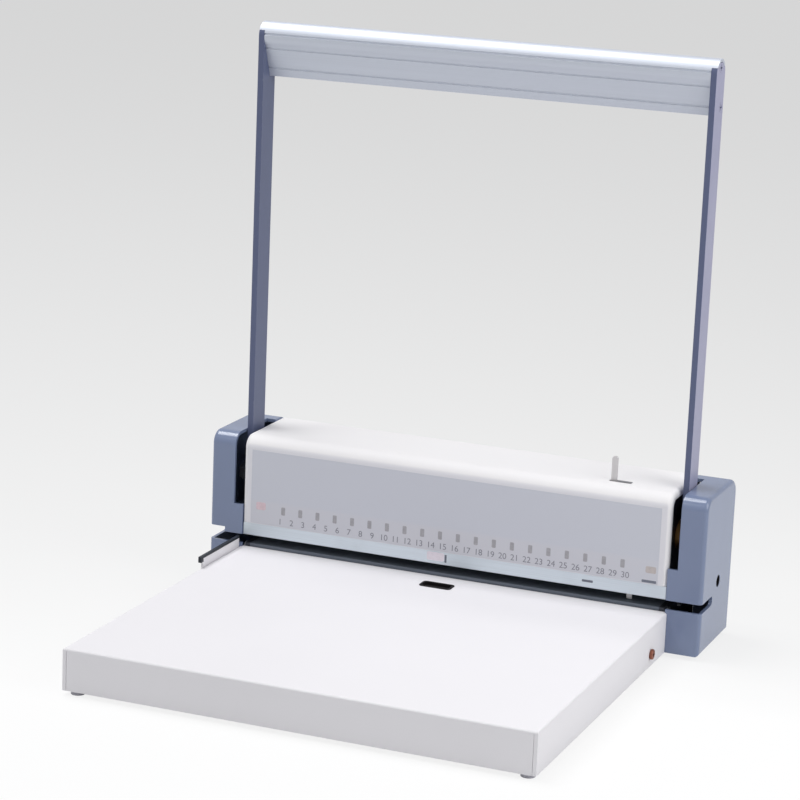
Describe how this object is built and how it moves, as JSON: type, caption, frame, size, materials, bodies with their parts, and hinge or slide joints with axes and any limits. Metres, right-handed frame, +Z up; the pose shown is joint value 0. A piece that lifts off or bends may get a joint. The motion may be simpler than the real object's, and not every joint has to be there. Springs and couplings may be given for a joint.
{
  "type": "multi-hole punch",
  "caption": "Desk punch with a flat paper table, a covered punch head and a two-armed lever that presses a row of pins through sheets.",
  "frame": {"origin": "on the desk, under the middle of the machine's width and depth", "axes": "+X to the user's right along the row of holes, +Y away from the user, +Z up"},
  "size_m": [0.393, 0.357, 0.433],
  "materials": {
    "frame_steel": "zinc-plated sheet",
    "tool_steel": "ground",
    "spring_steel": "drawn wire",
    "screw_steel": "zinc-plated",
    "bush_bronze": "sintered",
    "arm_paint": "satin blue-grey paint",
    "handle_aluminium": "satin anodised extrusion",
    "hood_paint": "satin light grey paint",
    "scale_print": "printed strip",
    "lip_steel": "bright nickel",
    "cap_plastic": "fine-grained moulding",
    "drawer_plastic": "fine-grained moulding",
    "table_paint": "satin white paint",
    "black_rubber": "matt",
    "black_plastic": "matt",
    "dark_screw": "blackened",
    "copper_screw": "copper-toned"
  },
  "bodies": {
    "frame": {"base_plate": "frame_steel", "base_feet": "black_rubber", "side_frame_left": "frame_steel", "side_frame_right": "frame_steel", "rear_tie_bars": "frame_steel", "frame_screws": "screw_steel", "die_plate": "tool_steel", "back_stop": "tool_steel", "guide_plate": "tool_steel", "guide_posts": "tool_steel", "spring_left": "spring_steel", "spring_right": "spring_steel", "shaft_bushes": "bush_bronze", "hood": "hood_paint", "scale_strip": "scale_print", "throat_lip": "lip_steel", "rear_cover": "hood_paint", "cover_screws": "screw_steel", "end_cap_left": "cap_plastic", "end_cap_right": "cap_plastic", "cap_screws": "dark_screw", "stop_studs": "screw_steel", "table": "table_paint", "table_feet": "black_rubber", "table_insert": "black_plastic", "table_screws": "copper_screw", "fence": "table_paint", "fence_trim": "black_plastic", "fence_screws": "screw_steel"},
    "lever": {"lever_shaft": "tool_steel", "cam_left": "tool_steel", "cam_right": "tool_steel", "cam_pins": "screw_steel", "lever_arm_left": "arm_paint", "lever_arm_right": "arm_paint", "shaft_washers": "screw_steel", "shaft_nuts": "screw_steel", "handle_bar": "handle_aluminium", "handle_screws": "arm_paint"},
    "beam": {"pin_holder": "tool_steel", "punch_pins": "tool_steel", "punch_beam": "tool_steel", "beam_screws": "screw_steel"},
    "edge_stop": {"edge_stop": "lip_steel"},
    "drawer": {"chip_drawer": "drawer_plastic"}
  },
  "joints": [
    {"name": "lever_swing", "type": "hinge", "parent": "frame", "child": "lever", "pos_m": [0, 0.1315, 0.0852], "axis": [1, 0, 0], "range_deg": [0, 90]},
    {"name": "beam_press", "type": "slide", "parent": "frame", "child": "beam", "axis": [0, 0, -1], "range_m": [0, 0.01002], "stiffness_N_per_m": 8000, "springref_m": -0.008, "deforming": ["spring_left", "spring_right"]},
    {"name": "edge_stop_slide", "type": "slide", "parent": "frame", "child": "edge_stop", "axis": [1, 0, 0], "range_m": [0, 0.0105]},
    {"name": "drawer_slide", "type": "slide", "parent": "frame", "child": "drawer", "axis": [0, 1, 0], "range_m": [0, 0.066]}
  ],
  "couplings": [
    {"joint": "beam_press", "follows": "lever_swing", "m_per_rad": 0.0063662}
  ]
}
